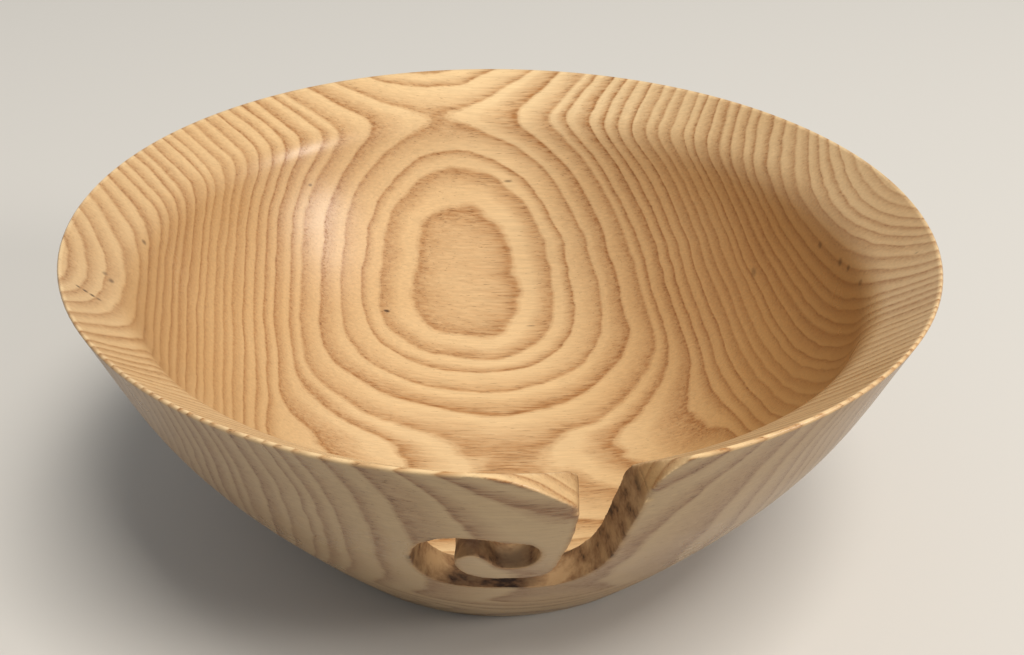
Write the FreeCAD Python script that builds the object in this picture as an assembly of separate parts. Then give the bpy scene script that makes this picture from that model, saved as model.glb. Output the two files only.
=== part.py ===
import FreeCAD, Part
import math
import os

# Yarn bowl: one block of ash, turned on a faceplate, with a curled yarn slot cut
# through its front wall. Millimetres. The origin is on the bowl's turning axis at the
# level of the table, +Z is up, and the slot faces -Y.

# Turned shape
RIM_RADIUS = 110.0
HEIGHT = 88.0
RIM_EDGE_FLAT = 0.5          # the sharp outer edge is just taken off with sandpaper
FOOT_RADIUS = 56.5
FOOT_EDGE = 1.0              # small rounding where the foot meets the outer wall

# Outer wall below the rim, as (radius, height): steep at the rim, flaring in to the foot
OUTER_WALL = [(105.9, 77.0), (101.6, 66.0), (96.5, 55.0), (90.1, 44.0),
              (82.6, 33.0), (74.4, 22.0), (65.8, 11.0)]

# Rim band: slopes down inwards from the outer edge to the crease above the hollow
CREASE_RADIUS = 94.8
CREASE_HEIGHT = 76.4
CREASE_ROUNDING = 5.0

# Hollow below the crease, as (radius, height), down to the middle of the floor
FLOOR_HEIGHT = 10.0
HOLLOW_WALL = [(90.6, 63.0), (83.4, 48.0), (74.6, 35.0), (64.0, 23.5),
               (50.0, 15.0), (30.0, 11.0)]

# Underside: a shallow dovetail recess for the chuck, and a foot ring to stand on
RECESS_RADIUS = 29.0
RECESS_DEPTH = 3.0
RECESS_DOVETAIL = 0.6        # how far the recess widens towards its bottom
BASE_HOLLOW = 0.8            # the base inside the foot ring is turned slightly hollow
FOOT_RING_WIDTH = 9.0

# Yarn slot, seen square on from the front: stations along the middle of the slot, as
# (x, height, width), from the mouth in the rim, down the throat, round under the hook
# and up over it to a drilled round end. The hook's own sides are cut straight back. The
# far side of the slot runs in towards the turning axis, and these sizes hold on a face
# 100 mm in front of that axis.
FACE_DISTANCE = 100.0
SLOT_STATIONS = [(22.7, 97.0, 12.4), (21.8, 74.0, 12.2), (20.4, 61.0, 12.0),
                 (18.7, 51.0, 12.9), (15.6, 44.6, 11.2), (10.4, 41.6, 8.3),
                 (3.5, 41.2, 6.8), (-3.6, 41.1, 7.2), (-11.7, 44.4, 11.0),
                 (-14.4, 51.6, 10.7), (-12.4, 57.8, 9.7), (-5.6, 61.0, 7.2),
                 (-0.7, 59.3, 8.8), (2.8, 57.1, 12.2)]
CUT_NEAR_AXIS = 45.0         # the cutter reaches from here ...
CUT_OUTSIDE = 125.0          # ... to here, measured from the turning axis

# Eased corners where the slot opens in the rim, as (x, height) on the same face
HOOK_CORNER = [(-7.0, 88.3), (0.0, 86.4), (5.0, 83.8), (10.2, 79.4), (15.9, 73.6)]
THROAT_CORNER = [(27.3, 71.0), (28.6, 76.5), (30.6, 82.0), (37.5, 88.3)]
EASING_RISE = 14.0           # degrees: the easing is square to the wall, so it rises inwards
ABOVE_RIM = 110.0            # height of the top of the easing cutter


def point(radius, height):
    return FreeCAD.Vector(radius, 0, height)


def spline(points):
    curve = Part.BSplineCurve()
    curve.interpolate(points)
    return curve.toShape()


def turned_blank():
    """The bowl as it leaves the lathe: half section turned about the Z axis."""
    rim_outer = point(RIM_RADIUS, HEIGHT - RIM_EDGE_FLAT)
    rim_inner = point(RIM_RADIUS - RIM_EDGE_FLAT, HEIGHT)
    foot_outer = point(FOOT_RADIUS + FOOT_EDGE, FOOT_EDGE)
    foot_stand = point(FOOT_RADIUS, 0)

    outer = [rim_outer] + [point(r, h) for r, h in OUTER_WALL] + [foot_outer]
    outer_wall = spline(outer)

    # the band meets the hollow in a soft crease
    crease = point(CREASE_RADIUS, CREASE_HEIGHT)
    band_direction = (rim_inner - crease).normalize()
    first_wall = point(*HOLLOW_WALL[0])
    wall_direction = (first_wall - crease).normalize()
    band_end = crease + band_direction * CREASE_ROUNDING
    wall_start = crease + wall_direction * CREASE_ROUNDING
    crease_curve = Part.BezierCurve()
    crease_curve.setPoles([band_end, crease, wall_start])

    middle = point(0, FLOOR_HEIGHT)
    hollow_curve = Part.BSplineCurve()
    hollow = [wall_start] + [point(r, h) for r, h in HOLLOW_WALL] + [middle]
    hollow_curve.interpolate(hollow, InitialTangent=wall_direction,
                             FinalTangent=FreeCAD.Vector(-1, 0, 0))

    ring_inner = point(FOOT_RADIUS - FOOT_RING_WIDTH, 0)
    base_edge = point(RECESS_RADIUS, BASE_HOLLOW)
    recess_corner = point(RECESS_RADIUS + RECESS_DOVETAIL, RECESS_DEPTH)
    recess_middle = point(0, RECESS_DEPTH)

    edges = [Part.makeLine(rim_outer, rim_inner),
             Part.makeLine(rim_inner, band_end),
             crease_curve.toShape(),
             hollow_curve.toShape(),
             Part.makeLine(middle, recess_middle),
             Part.makeLine(recess_middle, recess_corner),
             Part.makeLine(recess_corner, base_edge),
             Part.makeLine(base_edge, ring_inner),
             Part.makeLine(ring_inner, foot_stand),
             Part.makeLine(foot_stand, foot_outer),
             outer_wall]
    section = Part.Face(Part.Wire(Part.__sortEdges__(edges)))
    return section.revolve(FreeCAD.Vector(0, 0, 0), FreeCAD.Vector(0, 0, 1), 360)


def slot_outline(distance):
    """Outline of the slot on the plane this far in front of the turning axis."""
    taper = distance / FACE_DISTANCE
    hook_side = []
    far_side = []
    last = len(SLOT_STATIONS) - 1
    for i, (x, height, width) in enumerate(SLOT_STATIONS):
        before = SLOT_STATIONS[max(i - 1, 0)]
        after = SLOT_STATIONS[min(i + 1, last)]
        run = after[0] - before[0]
        rise = after[1] - before[1]
        reach = width / 2 / math.hypot(run, rise)
        far_side.append(FreeCAD.Vector((x - rise * reach) * taper, -distance,
                                       height + run * reach))
        hook_side.append(FreeCAD.Vector(x + rise * reach, -distance, height - run * reach))
        if i == last:
            end = FreeCAD.Vector((x + run * reach) * taper, -distance, height + rise * reach)

    round_end = Part.Arc(far_side[-1], end, hook_side[-1]).toShape()
    mouth = Part.makeLine(hook_side[0], far_side[0])
    return Part.Wire([spline(far_side), round_end, spline(hook_side[::-1]), mouth])


def mouth_outline(distance):
    """Outline of the two eased corners on the plane this far in front of the axis."""
    taper = distance / FACE_DISTANCE
    lift = (RIM_RADIUS - distance) * math.tan(math.radians(EASING_RISE))
    hook = [FreeCAD.Vector(x, -distance, h + lift) for x, h in HOOK_CORNER]
    throat = [FreeCAD.Vector(x * taper, -distance, h + lift) for x, h in THROAT_CORNER]
    top_left = FreeCAD.Vector(hook[0].x, -distance, ABOVE_RIM + lift)
    top_right = FreeCAD.Vector(throat[-1].x, -distance, ABOVE_RIM + lift)
    return Part.Wire([spline(hook), Part.makeLine(hook[-1], throat[0]), spline(throat),
                      Part.makeLine(throat[-1], top_right),
                      Part.makeLine(top_right, top_left),
                      Part.makeLine(top_left, hook[0])])


def cutter(outline):
    """A tool that follows the outline from outside the wall to inside the hollow."""
    return Part.makeLoft([outline(CUT_OUTSIDE), outline(CUT_NEAR_AXIS)], True, True)


def bowl():
    cut = turned_blank().cut(cutter(slot_outline)).cut(cutter(mouth_outline))
    return cut.Solids[0]


def main():
    os.makedirs("parts", exist_ok=True)
    shape = bowl()
    shape.exportStep("parts/bowl.step")
    print("bowl", shape.ShapeType, "valid", shape.isValid(), "volume", round(shape.Volume))


main()
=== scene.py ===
import math

import bmesh
import bpy
from mathutils import Matrix, Vector, noise
from mathutils.kdtree import KDTree


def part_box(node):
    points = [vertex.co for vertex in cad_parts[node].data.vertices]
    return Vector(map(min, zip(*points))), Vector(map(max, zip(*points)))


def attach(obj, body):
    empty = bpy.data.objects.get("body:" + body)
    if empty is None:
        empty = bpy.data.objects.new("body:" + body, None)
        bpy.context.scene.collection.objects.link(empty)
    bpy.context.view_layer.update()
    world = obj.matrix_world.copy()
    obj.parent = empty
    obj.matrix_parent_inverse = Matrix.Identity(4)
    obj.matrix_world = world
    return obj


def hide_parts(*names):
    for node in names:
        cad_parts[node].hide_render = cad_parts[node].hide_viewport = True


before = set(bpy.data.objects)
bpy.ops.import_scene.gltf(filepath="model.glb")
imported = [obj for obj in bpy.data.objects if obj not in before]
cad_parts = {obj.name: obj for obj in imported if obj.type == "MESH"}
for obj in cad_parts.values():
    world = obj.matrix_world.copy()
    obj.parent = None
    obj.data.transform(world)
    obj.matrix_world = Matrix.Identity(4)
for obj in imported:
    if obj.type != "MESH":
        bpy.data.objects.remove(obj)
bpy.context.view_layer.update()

# Yarn bowl of oiled ash. Everything is in metres, in the model's own frame: the turning
# axis is Z, the table is at height 0 and the yarn slot faces -Y.
MM = 0.001
LOW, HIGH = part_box("bowl")
RIM_RADIUS = (HIGH[0] - LOW[0]) / 2

# --- turned shape, as (radius, height) in millimetres ---------------------------------
OUTER_WALL = [(110.0, 87.5), (105.9, 77.0), (101.6, 66.0), (96.5, 55.0), (90.1, 44.0),
              (82.6, 33.0), (74.4, 22.0), (65.8, 11.0), (57.5, 1.0)]
# beside each corner is a near neighbour, which keeps the flats flat in the light
UNDERSIDE = [(56.5, 0.0), (56.2, 0.0), (47.9, 0.0), (47.1, 0.02), (29.4, 0.78), (29.0, 0.85),
             (29.05, 1.1), (29.55, 2.8), (29.5, 3.0), (29.2, 3.0), (0.0, 3.0)]
BAND = [(109.5, 88.0), (98.65, 79.44)]
CREASE = (94.8, 76.4)
HOLLOW_WALL = [(93.38, 71.6), (90.6, 63.0), (83.4, 48.0), (74.6, 35.0), (64.0, 23.5),
               (50.0, 15.0), (30.0, 11.0), (0.0, 10.0)]

# --- yarn slot, as on the drawing of the part: (x, height, width) in millimetres ------
FACE_DISTANCE = 100.0
SLOT_STATIONS = [(22.7, 97.0, 12.4), (21.8, 74.0, 12.2), (20.4, 61.0, 12.0),
                 (18.7, 51.0, 12.9), (15.6, 44.6, 11.2), (10.4, 41.6, 8.3),
                 (3.5, 41.2, 6.8), (-3.6, 41.1, 7.2), (-11.7, 44.4, 11.0),
                 (-14.4, 51.6, 10.7), (-12.4, 57.8, 9.7), (-5.6, 61.0, 7.2),
                 (-0.7, 59.3, 8.8), (2.8, 57.1, 12.2)]
HOOK_CORNER = [(-7.0, 88.3), (0.0, 86.4), (5.0, 83.8), (10.2, 79.4), (15.9, 73.6)]
THROAT_CORNER = [(27.3, 71.0), (28.6, 76.5), (30.6, 82.0), (37.5, 88.3)]
EASING_RISE = math.radians(14)
ABOVE_RIM = 110.0
CUT_OUTSIDE = 125.0
CUT_NEAR_AXIS = 45.0

# --- the log: millimetres, heights above the table -------------------------------------
# the heart's line runs nearly along X; its slant and bow are what it gains in 100 mm
HEART_Y = 4.6
HEART_HEIGHT = 161.0
HEART_SLANT = 35.0
HEART_BOW = 11.0
SIDE_SWELL = 32.0            # the log wasn't round: how much further out the rings lie
BUTT_SWELL = 11.4
# rings counted from the heart: (distance, count)
RING_SPAN = 200.0
RING_TOTAL = 60.0
RING_COUNTS = [(0.0, 0.0), (50.0, 15.0), (76.0, 24.0), (91.5, 28.0), (125.5, 38.0),
               (142.5, 43.0), (154.8, 46.0), (157.8, 47.0), (161.3, 48.0), (165.5, 49.0),
               (171.0, 50.0), (177.0, 51.0), (200.0, 57.0)]
# below this height the rings dip further, by (per 100 mm back, at the axis, per 100 mm aside)
DIP_TOP, DIP_BOTTOM = 26.0, 9.0
DIP = (16.0, -8.0, -5.0)
DIP_ROUNDING = 0.001
# how the rings wander: waves per millimetre along the log and across it, size in millimetres
WANDERING = [((0.018, 0.035, 0.035), 3.6), ((0.08, 0.16, 0.16), 1.1), ((0.5, 2.2, 2.2), 0.28)]
UNEVEN_YEARS = 0.5
UNEVEN_PACE = 0.8

# --- one year's ring ---------------------------------------------------------------------
# the spring wood's share of the year, and how much more of a good year
SPRING_SHARE, SPRING_EXTRA = 0.6, 0.25
# how dark the spring wood is as it fades into summer wood
SPRING_FADE = [(0.0, 0.4), (0.06, 0.85), (0.14, 0.98), (0.25, 0.82), (0.42, 0.6), (0.7, 0.32),
               (1.0, 0.04)]
AUTUMN_START, AUTUMN_DEPTH = 0.9, 0.4
RING_DEPTH, RING_DEPTH_EXTRA = 0.62, 0.35
END_GRAIN_SOFTER = 0.4

# --- the wood's fine structure: waves per millimetre along the log and across it ----------
THREADS = (0.12, 1.3, 1.3)
VESSEL_DASHES = (0.22, 3.4, 3.4)
FINE_STREAKS = (0.09, 1.6, 1.6)
COLOUR_PATCHES = (0.012, 0.03, 0.03)
SHEEN_PATCHES = (0.02, 0.05, 0.05)
SCORCH_SPOTS = (0.11, 0.16, 0.2)
VESSEL_LEVEL, SPRING_VESSELS = 0.66, 0.17
VESSEL_DARKNESS = 0.55
# a satin oil finish, rougher in the vessels and on the rasped walls of the slot
SHEEN = (0.26, 0.36)
RASPED_ROUGHER, VESSEL_ROUGHER = 0.35, 0.12
OIL_IOR = 1.46
GRAIN_STRENGTH = 0.35
GRAIN_DEPTH = 0.00012        # metres

# --- colours of the wood ----------------------------------------------------------------
SUMMER_PALE = (0.85, 0.63, 0.355)
SUMMER_GOLD = (0.77, 0.515, 0.25)
SPRING_BROWN = (0.46, 0.21, 0.068)
SPRING_DARK = (0.38, 0.162, 0.045)
MARK_BROWN = (0.055, 0.025, 0.012)
# small checks and bark flecks: place, half length and half width in millimetres, strength
MARKS = [(-98.7, -36.9, 85.2, 1.6, 0.7, 0.8), (-97.2, -37.1, 84.1, 1.8, 0.8, 0.9),
         (-95.8, -37.3, 83.0, 1.8, 0.8, 0.9), (-94.4, -37.4, 82.0, 1.6, 0.7, 0.7),
         (-95.8, -24.3, 79.6, 1.0, 1.5, 0.6),
         (-97.6, -22.6, 80.8, 1.0, 1.2, 0.5), (-95.1, 3.4, 76.1, 1.5, 1.2, 0.6),
         (-61.0, 67.4, 63.8, 2.5, 0.7, 0.6), (-37.2, 54.6, 25.3, 2.6, 0.7, 0.9),
         (10.2, 57.0, 18.8, 2.6, 0.5, 0.5), (1.8, 87.9, 56.7, 2.0, 0.6, 0.6),
         (90.1, 20.7, 68.7, 0.8, 1.6, 0.5), (92.5, 7.8, 70.2, 0.8, 1.8, 0.6),
         (93.2, 2.2, 71.4, 0.8, 1.4, 0.6), (93.3, -9.0, 73.3, 0.8, 1.8, 0.5),
         (104.0, -14.3, 85.0, 1.2, 0.8, 0.5), (76.2, 37.3, 50.6, 1.0, 2.4, 0.4)]
END_GRAIN_TINT = (0.5, 0.375, 0.25)
END_GRAIN_OIL = 0.8
# painted shade for the hollow's +X side: its tint, how far along X it grows, and the heights where
# it starts and is full
SHADED_SIDE_TINT = (0.86, 0.74, 0.56)
SHADED_SIDE_REACH = 90.0
SHADED_SIDE_TOP, SHADED_SIDE_FULL = 80.0, 66.0
# painted shade: darkens the outside wall where it faces down
OUTSIDE_SHADE_TINT = (0.57, 0.56, 0.55)
VESSEL_BROWN = (0.2, 0.09, 0.03)
SLOT_CHAR = (0.05, 0.022, 0.01)
SLOT_BROWN = (0.25, 0.13, 0.055)
SLOT_TAN = (0.43, 0.26, 0.12)
SCORCH = [(0.34, SLOT_CHAR), (0.44, SLOT_BROWN), (0.6, SLOT_TAN)]

# --- how finely the bowl is divided ---------------------------------------------------
FINE_STEP = 1.0              # millimetres along the wall beside the slot
FRONT_HALF_ANGLE = math.radians(27)
FRONT_STEPS = 110
BACK_STEPS = 130
CREASE_STEPS = 9
ROUND_END_STEPS = 24
MERGE_TURNED = 0.02
MERGE_CUT = 0.05
TURNED, RASPED, EASED = range(3)

# --- how the cut edges are finished, in millimetres --------------------------------------
# within this reach of a cut edge, no mesh edge is left longer than this
REFINED = [(2.6, 0.8), (1.6, 0.5)]
SANDED_REACH, SANDED_ROUNDS = 0.7, 5
MOUTH_REACH, MOUTH_ROUNDS = 2.4, 45
MOUTH_CLEAN = 3.5            # the mouth is sanded clean of cutter marks this far in
STAINED_REACH = 1.4          # brown from the scorching creeps this far out of the slot
STAIN_STRENGTH = 0.7
MOUTH_CLEANED = 0.75         # how much of the scorching the sanding took off there
CHATTER_DEPTH = 0.16
CHATTER_COARSE, CHATTER_FINE = 2.5, 1.1

# --- the studio, in metres -----------------------------------------------------------------
FLOOR_SIZE = 14
FLOOR_COLOUR = (0.62, 0.585, 0.53, 1)
FLOOR_ROUGHNESS = 0.9
LENS = 42.7
CAMERA_PLACE = (0, -0.2853, 0.226)
CAMERA_TURN, CAMERA_DIP, CAMERA_TILT = -0.61, 31.27, 0.97
# name, direction, distance, size, power, colour, seen in the wood's shine
LAMPS = [("window", (0.9, -0.25, 0.42), 2.2, 0.55, 17, (1.0, 0.97, 0.94), True),
         ("ceiling", (0.24, -0.27, 1.0), 2.8, 1.2, 68, (1.0, 0.975, 0.94), False)]
ROOM_COLOUR = (0.9, 0.95, 1.0, 1)
ROOM_STRENGTH = 0.36


def smooth_line(points, spacing):
    """Evenly spaced points on a smooth curve through the given ones."""
    knots = [0.0]
    for a, b in zip(points, points[1:]):
        knots.append(knots[-1] + math.dist(a, b))
    columns = [natural_spline(knots, [p[axis] for p in points]) for axis in (0, 1)]
    count = max(2, round(knots[-1] / spacing))
    return [tuple(column(knots[-1] * i / count) for column in columns)
            for i in range(count + 1)]


def natural_spline(knots, values):
    """Cubic through the values, with no bending at its two ends."""
    n = len(knots) - 1
    gaps = [b - a for a, b in zip(knots, knots[1:])]
    slopes = [(b - a) / gap for a, b, gap in zip(values, values[1:], gaps)]
    bend = [0.0] * (n + 1)
    share = [0.0] * (n + 1)
    for i in range(1, n):
        pivot = 2 * (gaps[i - 1] + gaps[i]) - gaps[i - 1] * share[i - 1]
        share[i] = gaps[i] / pivot
        bend[i] = (6 * (slopes[i] - slopes[i - 1]) - gaps[i - 1] * bend[i - 1]) / pivot
    for i in range(n - 1, 0, -1):
        bend[i] -= share[i] * bend[i + 1]

    def value(t):
        i = max(j for j in range(n) if knots[j] <= t or j == 0)
        gap = gaps[i]
        right = (t - knots[i]) / gap
        left = 1 - right
        return (left * values[i] + right * values[i + 1]
                + ((left ** 3 - left) * bend[i] + (right ** 3 - right) * bend[i + 1])
                * gap * gap / 6)
    return value


def soft_corner(before, corner, after, steps):
    """Points round a corner that has been sanded soft."""
    points = []
    for i in range(1, steps):
        t = i / steps
        points.append(tuple(a * (1 - t) ** 2 + 2 * c * t * (1 - t) + b * t * t
                            for a, c, b in zip(before, corner, after)))
    return points


def half_section():
    """The bowl's profile, from the middle of the underside round to the floor."""
    outside = smooth_line(OUTER_WALL[::-1], FINE_STEP)
    band = smooth_line(BAND, FINE_STEP)
    hollow = smooth_line(HOLLOW_WALL, FINE_STEP)
    crease = soft_corner(band[-1], CREASE, hollow[0], CREASE_STEPS)
    return UNDERSIDE[::-1] + outside + band + crease + hollow


def turned_mesh():
    """Half section spun round Z: finely beside the slot, more coarsely elsewhere."""
    shape = bmesh.new()
    for start, angle, steps in ((-FRONT_HALF_ANGLE, 2 * FRONT_HALF_ANGLE, FRONT_STEPS),
                                (FRONT_HALF_ANGLE, 2 * (math.pi - FRONT_HALF_ANGLE),
                                 BACK_STEPS)):
        turn = Matrix.Rotation(start - math.pi / 2, 3, "Z")
        chain = [shape.verts.new(turn @ Vector((r * MM, 0, h * MM)))
                 for r, h in half_section()]
        edges = [shape.edges.new(pair) for pair in zip(chain, chain[1:])]
        bmesh.ops.spin(shape, geom=chain + edges, cent=(0, 0, 0), axis=(0, 0, 1),
                       angle=angle, steps=steps, use_merge=False)
    bmesh.ops.remove_doubles(shape, verts=shape.verts, dist=MERGE_TURNED * MM)
    bmesh.ops.recalc_face_normals(shape, faces=shape.faces)
    return shape


def slot_outline():
    """Both sides of the slot as (x, height, far side?) round its whole outline."""
    hook_side = []
    far_side = []
    last = len(SLOT_STATIONS) - 1
    for i, (x, height, width) in enumerate(SLOT_STATIONS):
        before = SLOT_STATIONS[max(i - 1, 0)]
        after = SLOT_STATIONS[min(i + 1, last)]
        run = after[0] - before[0]
        rise = after[1] - before[1]
        reach = width / 2 / math.hypot(run, rise)
        far_side.append((x - rise * reach, height + run * reach))
        hook_side.append((x + rise * reach, height - run * reach))
    x, height, width = SLOT_STATIONS[-1]
    first = math.atan2(far_side[-1][1] - height, far_side[-1][0] - x)
    round_end = []
    for i in range(1, ROUND_END_STEPS):
        angle = first - math.pi * i / ROUND_END_STEPS
        round_end.append((x + width / 2 * math.cos(angle),
                          height + width / 2 * math.sin(angle)))
    outline = [(x, h, True) for x, h in smooth_line(far_side, FINE_STEP)]
    outline += [(x, h, True) for x, h in round_end]
    outline += [(x, h, False) for x, h in smooth_line(hook_side[::-1], FINE_STEP)]
    return outline


def mouth_outline():
    outline = [(x, h, False) for x, h in smooth_line(HOOK_CORNER, FINE_STEP)]
    outline += [(x, h, True) for x, h in smooth_line(THROAT_CORNER, FINE_STEP)]
    outline += [(THROAT_CORNER[-1][0], ABOVE_RIM, False), (HOOK_CORNER[0][0], ABOVE_RIM, False)]
    return outline


def cutter(name, outline, rise=0.0):
    """A tool with this outline, reaching from outside the wall to inside the hollow.
    Its far side runs in towards the turning axis, its hook side is straight, and all of
    it rises inwards by this slope."""
    shape = bmesh.new()
    far_side = shape.verts.layers.int.new("far side")
    ring = []
    for x, height, far in outline:
        vert = shape.verts.new((x * MM, -FACE_DISTANCE * MM, height * MM))
        vert[far_side] = far
        ring.append(vert)
    outer_face = shape.faces.new(ring)
    made = bmesh.ops.extrude_face_region(shape, geom=[outer_face], use_keep_orig=True)
    inner = {g for g in made["geom"] if isinstance(g, bmesh.types.BMVert)}
    for vert in shape.verts:
        distance = CUT_NEAR_AXIS if vert in inner else CUT_OUTSIDE
        if vert[far_side]:
            vert.co.x *= distance / FACE_DISTANCE
        vert.co.y = -distance * MM
        vert.co.z += (RIM_RADIUS - distance * MM) * rise
    long_edges = [e for e in shape.edges if (e.verts[0] in inner) != (e.verts[1] in inner)]
    cuts = round((CUT_OUTSIDE - CUT_NEAR_AXIS) / FINE_STEP)
    bmesh.ops.subdivide_edges(shape, edges=long_edges, cuts=cuts, use_grid_fill=True)
    bmesh.ops.recalc_face_normals(shape, faces=shape.faces)
    return finished(name, shape)


def finished(name, shape):
    mesh = bpy.data.meshes.new(name)
    shape.to_mesh(mesh)
    shape.free()
    piece = bpy.data.objects.new(name, mesh)
    bpy.context.scene.collection.objects.link(piece)
    return piece


def cut(piece, tool):
    """Cuts the tool's shape out of the piece, and takes the tool away."""
    modifier = piece.modifiers.new("cut", "BOOLEAN")
    modifier.operation = "DIFFERENCE"
    modifier.solver = "EXACT"
    modifier.material_mode = "TRANSFER"
    modifier.object = tool
    graph = bpy.context.evaluated_depsgraph_get()
    mesh = bpy.data.meshes.new_from_object(piece.evaluated_get(graph),
                                           preserve_all_data_layers=True, depsgraph=graph)
    piece.modifiers.remove(modifier)
    piece.data = mesh
    bpy.data.objects.remove(tool)


def border_verts(shape, first, second):
    """Vertices on the edges where surfaces of these two sorts meet."""
    return {v for e in shape.edges if len(e.link_faces) == 2
            and {f.material_index for f in e.link_faces} == {first, second}
            for v in e.verts}


def nearest(verts):
    """A quick way to look up the distance to the nearest of these vertices."""
    tree = KDTree(len(verts))
    for i, vert in enumerate(verts):
        tree.insert(vert.co, i)
    tree.balance()
    return tree


def distance_to(tree, vert):
    return tree.find(vert.co)[2]


def all_borders(shape):
    return (border_verts(shape, TURNED, RASPED) | border_verts(shape, EASED, RASPED)
            | border_verts(shape, TURNED, EASED))


def hand_finish(piece):
    """Softens the cut edges as fine sandpaper does, rounds the slot's mouth over more,
    leaves the cutter's marks on the slot's walls, and notes which surface is which."""
    shape = bmesh.new()
    shape.from_mesh(piece.data)
    rasped = shape.verts.layers.float.new("rasped")
    outside = shape.verts.layers.float.new("outside")
    end_grain = shape.verts.layers.float.new("end_grain")
    bmesh.ops.remove_doubles(shape, verts=shape.verts, dist=MERGE_CUT * MM)
    for reach, step in REFINED:
        tree = nearest(all_borders(shape))
        near = {v for v in shape.verts if distance_to(tree, v) < reach * MM}
        bmesh.ops.triangulate(shape, faces=[f for f in shape.faces
                                            if any(v in near for v in f.verts)])
        bmesh.ops.subdivide_edges(shape, cuts=1, edges=[
            e for e in shape.edges
            if e.verts[0] in near and e.verts[1] in near and e.calc_length() > step * MM])
    bmesh.ops.triangulate(shape, faces=[f for f in shape.faces if len(f.verts) > 4])

    edge_tree = nearest(all_borders(shape))
    mouth_tree = nearest(border_verts(shape, EASED, RASPED))
    for face in shape.faces:
        for vert in face.verts:
            if face.material_index == RASPED:
                vert[rasped] = 1.0
        face.material_index = 0
    slot_tree = nearest([v for v in shape.verts if v[rasped] == 1.0])
    for vert in shape.verts:
        if vert[rasped] < 1.0:
            away = distance_to(slot_tree, vert) / (STAINED_REACH * MM)
            vert[rasped] = STAIN_STRENGTH * max(0.0, 1 - away)
    for tree, reach, rounds in ((edge_tree, SANDED_REACH, SANDED_ROUNDS),
                                (mouth_tree, MOUTH_REACH, MOUTH_ROUNDS)):
        soft = [v for v in shape.verts if distance_to(tree, v) < reach * MM]
        for _ in range(rounds):
            bmesh.ops.smooth_vert(shape, verts=soft, factor=0.5, use_axis_x=True,
                                  use_axis_y=True, use_axis_z=True)
    for vert in shape.verts:
        fade = max(0.0, 1 - distance_to(mouth_tree, vert) / (MOUTH_CLEAN * MM))
        if vert[rasped] > 0.5:
            vert[rasped] -= MOUTH_CLEANED * fade
    shape.normal_update()
    moves = []
    for vert in shape.verts:
        if vert[rasped] > 0.95:
            chatter = (noise.noise(vert.co / (CHATTER_COARSE * MM))
                       + 0.6 * noise.noise(vert.co / (CHATTER_FINE * MM)))
            moves.append((vert, vert.normal * (chatter * CHATTER_DEPTH * MM)))
    for vert, move in moves:
        vert.co += move
    bmesh.ops.recalc_face_normals(shape, faces=shape.faces)
    shape.normal_update()
    # outside says how far a face turns down; it places the painted shade on the outside wall
    for vert in shape.verts:
        vert[outside] = min(max(-3 * vert.normal.z, 0), 1)
        vert[end_grain] = abs(vert.normal.x)
    shape.to_mesh(piece.data)
    shape.free()


def bowl():
    piece = finished("turned_bowl", turned_mesh())
    slot_tool = cutter("slot_tool", slot_outline())
    easing_tool = cutter("easing_tool", mouth_outline(), math.tan(EASING_RISE))
    # the surfaces are told apart by these while the bowl is made
    for made, surface in ((piece, "turned"), (slot_tool, "rasped"), (easing_tool, "eased")):
        made.data.materials.append(bpy.data.materials.new(surface))
    cut(piece, slot_tool)
    cut(piece, easing_tool)
    hand_finish(piece)
    piece.data.materials.clear()
    piece.data.materials.append(ash())
    piece.data.polygons.foreach_set("use_smooth", [True] * len(piece.data.polygons))
    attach(piece, "root")
    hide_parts("bowl")


class Graph:
    """A material's nodes, with short names for the few kinds that are used here."""

    def __init__(self, name):
        self.material = bpy.data.materials.new(name)
        self.material.use_nodes = True
        self.tree = self.material.node_tree
        self.shader = self.tree.nodes["Principled BSDF"]

    def node(self, kind, inputs, **settings):
        made = self.tree.nodes.new("ShaderNode" + kind)
        for key, value in settings.items():
            setattr(made, key, value)
        for key, value in inputs.items():
            self.set(made.inputs[key], value)
        return made

    def set(self, socket, value):
        if isinstance(value, bpy.types.NodeSocket):
            self.tree.links.new(value, socket)
        else:
            socket.default_value = value

    def math(self, operation, *values):
        return self.node("Math", dict(enumerate(values)), operation=operation).outputs[0]

    def mapped(self, value, low, high, to_low=0.0, to_high=1.0, smooth=True):
        kind = "SMOOTHSTEP" if smooth else "LINEAR"
        inputs = {"Value": value, "From Min": low, "From Max": high,
                  "To Min": to_low, "To Max": to_high}
        return self.node("MapRange", inputs, interpolation_type=kind).outputs[0]

    def stretched(self, place, scale):
        inputs = {"Vector": place, "Scale": scale}
        return self.node("Mapping", inputs).outputs[0]

    def noise(self, place, detail=2.0, roughness=0.5):
        inputs = {"Vector": place, "Scale": 1.0, "Detail": detail, "Roughness": roughness}
        return self.node("TexNoise", inputs).outputs["Fac"]

    def noise_along(self, value, scale):
        inputs = {"W": value, "Scale": scale, "Detail": 1.0}
        return self.node("TexNoise", inputs, noise_dimensions="1D").outputs["Fac"]

    def random(self, value):
        inputs = {"W": value}
        return self.node("TexWhiteNoise", inputs, noise_dimensions="1D").outputs["Value"]

    def ramp(self, value, stops):
        made = self.node("ValToRGB", {"Fac": value})
        made.color_ramp.interpolation = "LINEAR"
        elements = made.color_ramp.elements
        while len(elements) < len(stops):
            elements.new(0.5)
        for element, (position, colour) in zip(elements, stops):
            element.position = position
            element.color = (*colour, 1.0) if isinstance(colour, tuple) else (colour,) * 3 + (1.0,)
        return made.outputs["Color"]

    def mix(self, factor, first, second, blend="MIX"):
        made = self.node("Mix", {}, data_type="RGBA", blend_type=blend)
        self.set(made.inputs[0], factor)
        for socket, colour in ((made.inputs[6], first), (made.inputs[7], second)):
            self.set(socket, (*colour, 1.0) if isinstance(colour, tuple) else colour)
        return made.outputs[2]


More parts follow.
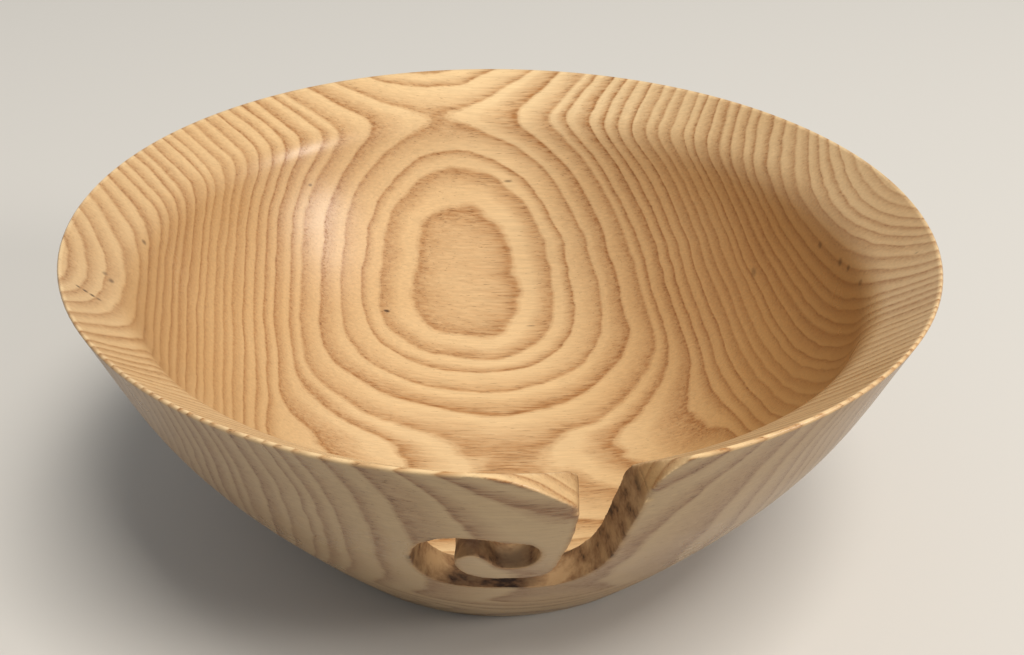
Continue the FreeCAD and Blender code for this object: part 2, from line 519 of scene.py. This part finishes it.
def growth_rings(graph, place):
    """How many years' rings lie between the heart of the log and each point.

    The log lay along X, its heart above the bowl. The heart was bowed, and the rings
    swelled towards the butt, so both are allowed for."""
    axes = graph.node("SeparateXYZ", {"Vector": place}).outputs
    x = graph.math("DIVIDE", axes["X"], 100.0)
    y = graph.math("DIVIDE", axes["Y"], 100.0)
    z = graph.math("MULTIPLY_ADD", axes["Z"], 0.02, -0.8)
    bow = graph.math("MULTIPLY", graph.math("MULTIPLY", x, x), HEART_BOW)
    across = graph.math("SUBTRACT", axes["Y"], graph.math("MULTIPLY_ADD", x, HEART_SLANT, HEART_Y))
    across = graph.math("ADD", across, bow)
    below = graph.math("ADD", graph.math("SUBTRACT", axes["Z"], HEART_HEIGHT), bow)
    reach = graph.math("SQRT", graph.math("ADD", graph.math("MULTIPLY", across, across),
                                          graph.math("MULTIPLY", below, below)))
    swell = graph.math("MULTIPLY", graph.math("MULTIPLY", y, y), SIDE_SWELL)
    flute = graph.math("MULTIPLY", graph.math("MULTIPLY", y, graph.math("MULTIPLY", z, z)),
                       -BUTT_SWELL)
    reach = graph.math("ADD", reach, graph.math("ADD", swell, flute))
    low = graph.mapped(axes["Z"], DIP_TOP, DIP_BOTTOM)
    ridge = graph.math("SQRT", graph.math("MULTIPLY_ADD", x, x, DIP_ROUNDING))
    dip = graph.math("MULTIPLY_ADD", y, DIP[0], DIP[1])
    dip = graph.math("MULTIPLY_ADD", ridge, DIP[2], dip)
    reach = graph.math("MULTIPLY_ADD", low, dip, reach)
    for pace, size in WANDERING:
        wobble = graph.noise(graph.stretched(place, pace))
        reach = graph.math("ADD", reach, graph.math("MULTIPLY_ADD", wobble, size, -size / 2))
    curve = graph.node("FloatCurve", {"Value": graph.math("DIVIDE", reach, RING_SPAN)})
    points = curve.mapping.curves[0].points
    while len(points) < len(RING_COUNTS):
        points.new(0.5, 0.5)
    for point, (distance, count) in zip(points, RING_COUNTS):
        point.location = (distance / RING_SPAN, count / RING_TOTAL)
    curve.mapping.update()
    count = graph.math("MULTIPLY", curve.outputs[0], RING_TOTAL)
    uneven = graph.noise_along(count, UNEVEN_PACE)
    return graph.math("ADD", count, graph.math("MULTIPLY_ADD", uneven, UNEVEN_YEARS,
                                               -UNEVEN_YEARS / 2))


def ash():
    graph = Graph("oiled_ash")
    coordinates = graph.node("TexCoord", {}).outputs["Object"]
    place = graph.node("VectorMath", {0: coordinates, "Scale": 1000.0},
                       operation="SCALE").outputs[0]
    rings = growth_rings(graph, place)
    season = graph.math("FRACT", rings)
    year = graph.math("FLOOR", rings)
    vigour = graph.random(year)

    # spring wood: dark and porous where a ring starts, fading into pale summer wood
    spring_end = graph.math("MULTIPLY_ADD", vigour, SPRING_EXTRA, SPRING_SHARE)
    age = graph.math("DIVIDE", season, spring_end)
    spring = graph.ramp(age, SPRING_FADE)
    spring = graph.math("MAXIMUM", spring,
                        graph.mapped(season, AUTUMN_START, 1.0, 0.0, AUTUMN_DEPTH))
    strength = graph.math("MULTIPLY_ADD", graph.random(graph.math("ADD", year, 0.5)),
                          RING_DEPTH_EXTRA, RING_DEPTH)
    end_grain = graph.node("Attribute", {}, attribute_name="end_grain").outputs["Fac"]
    strength = graph.math("MULTIPLY", strength,
                          graph.math("MULTIPLY_ADD", end_grain, -END_GRAIN_SOFTER, 1.0))
    spring = graph.math("MULTIPLY", spring, strength)
    threads = graph.noise(graph.stretched(place, THREADS), roughness=0.6)
    threads = graph.mapped(threads, 0.3, 0.7, 0.65, 1.3, smooth=False)
    spring = graph.math("MULTIPLY", spring, threads)

    # vessels: short dark dashes along the grain, crowded in the spring wood
    dashes = graph.noise(graph.stretched(place, VESSEL_DASHES), roughness=0.6)
    fine = graph.noise(graph.stretched(place, FINE_STREAKS), 3.0, 0.6)
    open_share = graph.math("MULTIPLY_ADD", spring, -SPRING_VESSELS, VESSEL_LEVEL)
    dash_depth = graph.math("SUBTRACT", dashes, open_share)
    vessel = graph.mapped(dash_depth, 0.0, 0.1)

    patch = graph.noise(graph.stretched(place, COLOUR_PATCHES))
    pale = graph.mix(patch, SUMMER_PALE, SUMMER_GOLD)
    brown = graph.mix(patch, SPRING_BROWN, SPRING_DARK)
    colour = graph.mix(spring, pale, brown)
    streak = graph.mapped(fine, 0.3, 0.7, 0.9, 1.07, smooth=False)
    colour = graph.mix(1.0, colour, streak, "MULTIPLY")
    colour = graph.mix(graph.math("MULTIPLY", vessel, VESSEL_DARKNESS), colour, VESSEL_BROWN)

    for x, y, z, length, width, depth in MARKS:
        offset = graph.node("VectorMath", {0: place, 1: (x, y, z)}, operation="SUBTRACT").outputs[0]
        across = graph.stretched(offset, (1 / length, 1 / width, 1 / width))
        away = graph.node("VectorMath", {0: across}, operation="LENGTH").outputs["Value"]
        colour = graph.mix(graph.mapped(away, 1.0, 0.2, 0.0, depth), colour, MARK_BROWN)
    # end grain drinks more oil
    colour = graph.mix(graph.math("MULTIPLY", end_grain, END_GRAIN_OIL), colour,
                       graph.mix(1.0, colour, END_GRAIN_TINT, "MULTIPLY"))
    # painted shade: the hollow's +X side, whose wall faces away from the window lamp, is darkened
    # and browned from the band down
    axes = graph.node("SeparateXYZ", {"Vector": place}).outputs
    outside = graph.node("Attribute", {}, attribute_name="outside").outputs["Fac"]
    shaded_side = graph.math("MULTIPLY", graph.mapped(axes["X"], 0.0, SHADED_SIDE_REACH),
                            graph.mapped(axes["Z"], SHADED_SIDE_TOP, SHADED_SIDE_FULL))
    shaded_side = graph.math("MULTIPLY", shaded_side, graph.math("SUBTRACT", 1.0, outside))
    colour = graph.mix(shaded_side, colour, graph.mix(1.0, colour, SHADED_SIDE_TINT, "MULTIPLY"))
    # painted shade: the outside wall, which faces down, is darkened
    colour = graph.mix(outside, colour, graph.mix(1.0, colour, OUTSIDE_SHADE_TINT, "MULTIPLY"))

    # the slot's walls were rasped and scorched by the cutter
    rasped = graph.node("Attribute", {}, attribute_name="rasped").outputs["Fac"]
    scorch = graph.noise(graph.stretched(place, SCORCH_SPOTS), 4.0, 0.65)
    char = graph.ramp(scorch, SCORCH)
    colour = graph.mix(rasped, colour, char)

    gloss = graph.noise(graph.stretched(place, SHEEN_PATCHES))
    roughness = graph.mapped(gloss, 0.3, 0.7, *SHEEN, smooth=False)
    roughness = graph.math("MULTIPLY_ADD", rasped, RASPED_ROUGHER, roughness)
    roughness = graph.math("MULTIPLY_ADD", vessel, VESSEL_ROUGHER, roughness)

    relief = graph.math("MULTIPLY", vessel, -0.5)
    relief = graph.math("ADD", relief, graph.math("MULTIPLY", fine, 0.25))
    relief = graph.math("ADD", relief, graph.math("MULTIPLY", spring, -0.3))
    bump = graph.node("Bump", {"Height": relief, "Strength": GRAIN_STRENGTH,
                               "Distance": GRAIN_DEPTH})

    graph.set(graph.shader.inputs["Base Color"], colour)
    graph.set(graph.shader.inputs["Roughness"], roughness)
    graph.set(graph.shader.inputs["Normal"], bump.outputs[0])
    graph.set(graph.shader.inputs["IOR"], OIL_IOR)
    return graph.material


def tabletop():
    bpy.ops.mesh.primitive_plane_add(size=FLOOR_SIZE, location=(0, 0, 0))
    top = bpy.context.object
    top.name = "floor"
    material = bpy.data.materials.new("pale_floor")
    material.use_nodes = True
    shader = material.node_tree.nodes["Principled BSDF"]
    shader.inputs["Base Color"].default_value = FLOOR_COLOUR
    shader.inputs["Roughness"].default_value = FLOOR_ROUGHNESS
    top.data.materials.append(material)


def camera():
    data = bpy.data.cameras.new("camera")
    data.sensor_width = 36
    data.lens = LENS
    data.clip_start = 0.01
    view = bpy.data.objects.new("camera", data)
    turn = (Matrix.Rotation(math.radians(CAMERA_TURN), 3, "Z")
            @ Matrix.Rotation(math.radians(90 - CAMERA_DIP), 3, "X")
            @ Matrix.Rotation(math.radians(CAMERA_TILT), 3, "Z"))
    view.rotation_euler = turn.to_euler()
    view.location = CAMERA_PLACE
    bpy.context.scene.collection.objects.link(view)
    bpy.context.scene.camera = view


def light(name, direction, distance, size, power, colour, shine):
    data = bpy.data.lights.new(name, "AREA")
    data.size = size
    data.energy = power
    data.color = colour
    lamp = bpy.data.objects.new(name, data)
    towards = Vector(direction).normalized()
    lamp.location = towards * distance
    lamp.visible_glossy = shine
    lamp.rotation_euler = towards.to_track_quat("Z", "Y").to_euler()
    bpy.context.scene.collection.objects.link(lamp)


def studio():
    for lamp in LAMPS:
        light(*lamp)
    world = bpy.data.worlds.new("room")
    world.use_nodes = True
    background = world.node_tree.nodes["Background"]
    background.inputs["Color"].default_value = ROOM_COLOUR
    background.inputs["Strength"].default_value = ROOM_STRENGTH
    bpy.context.scene.world = world
    bpy.context.scene.view_settings.view_transform = "Standard"


bowl()
tabletop()
camera()
studio()
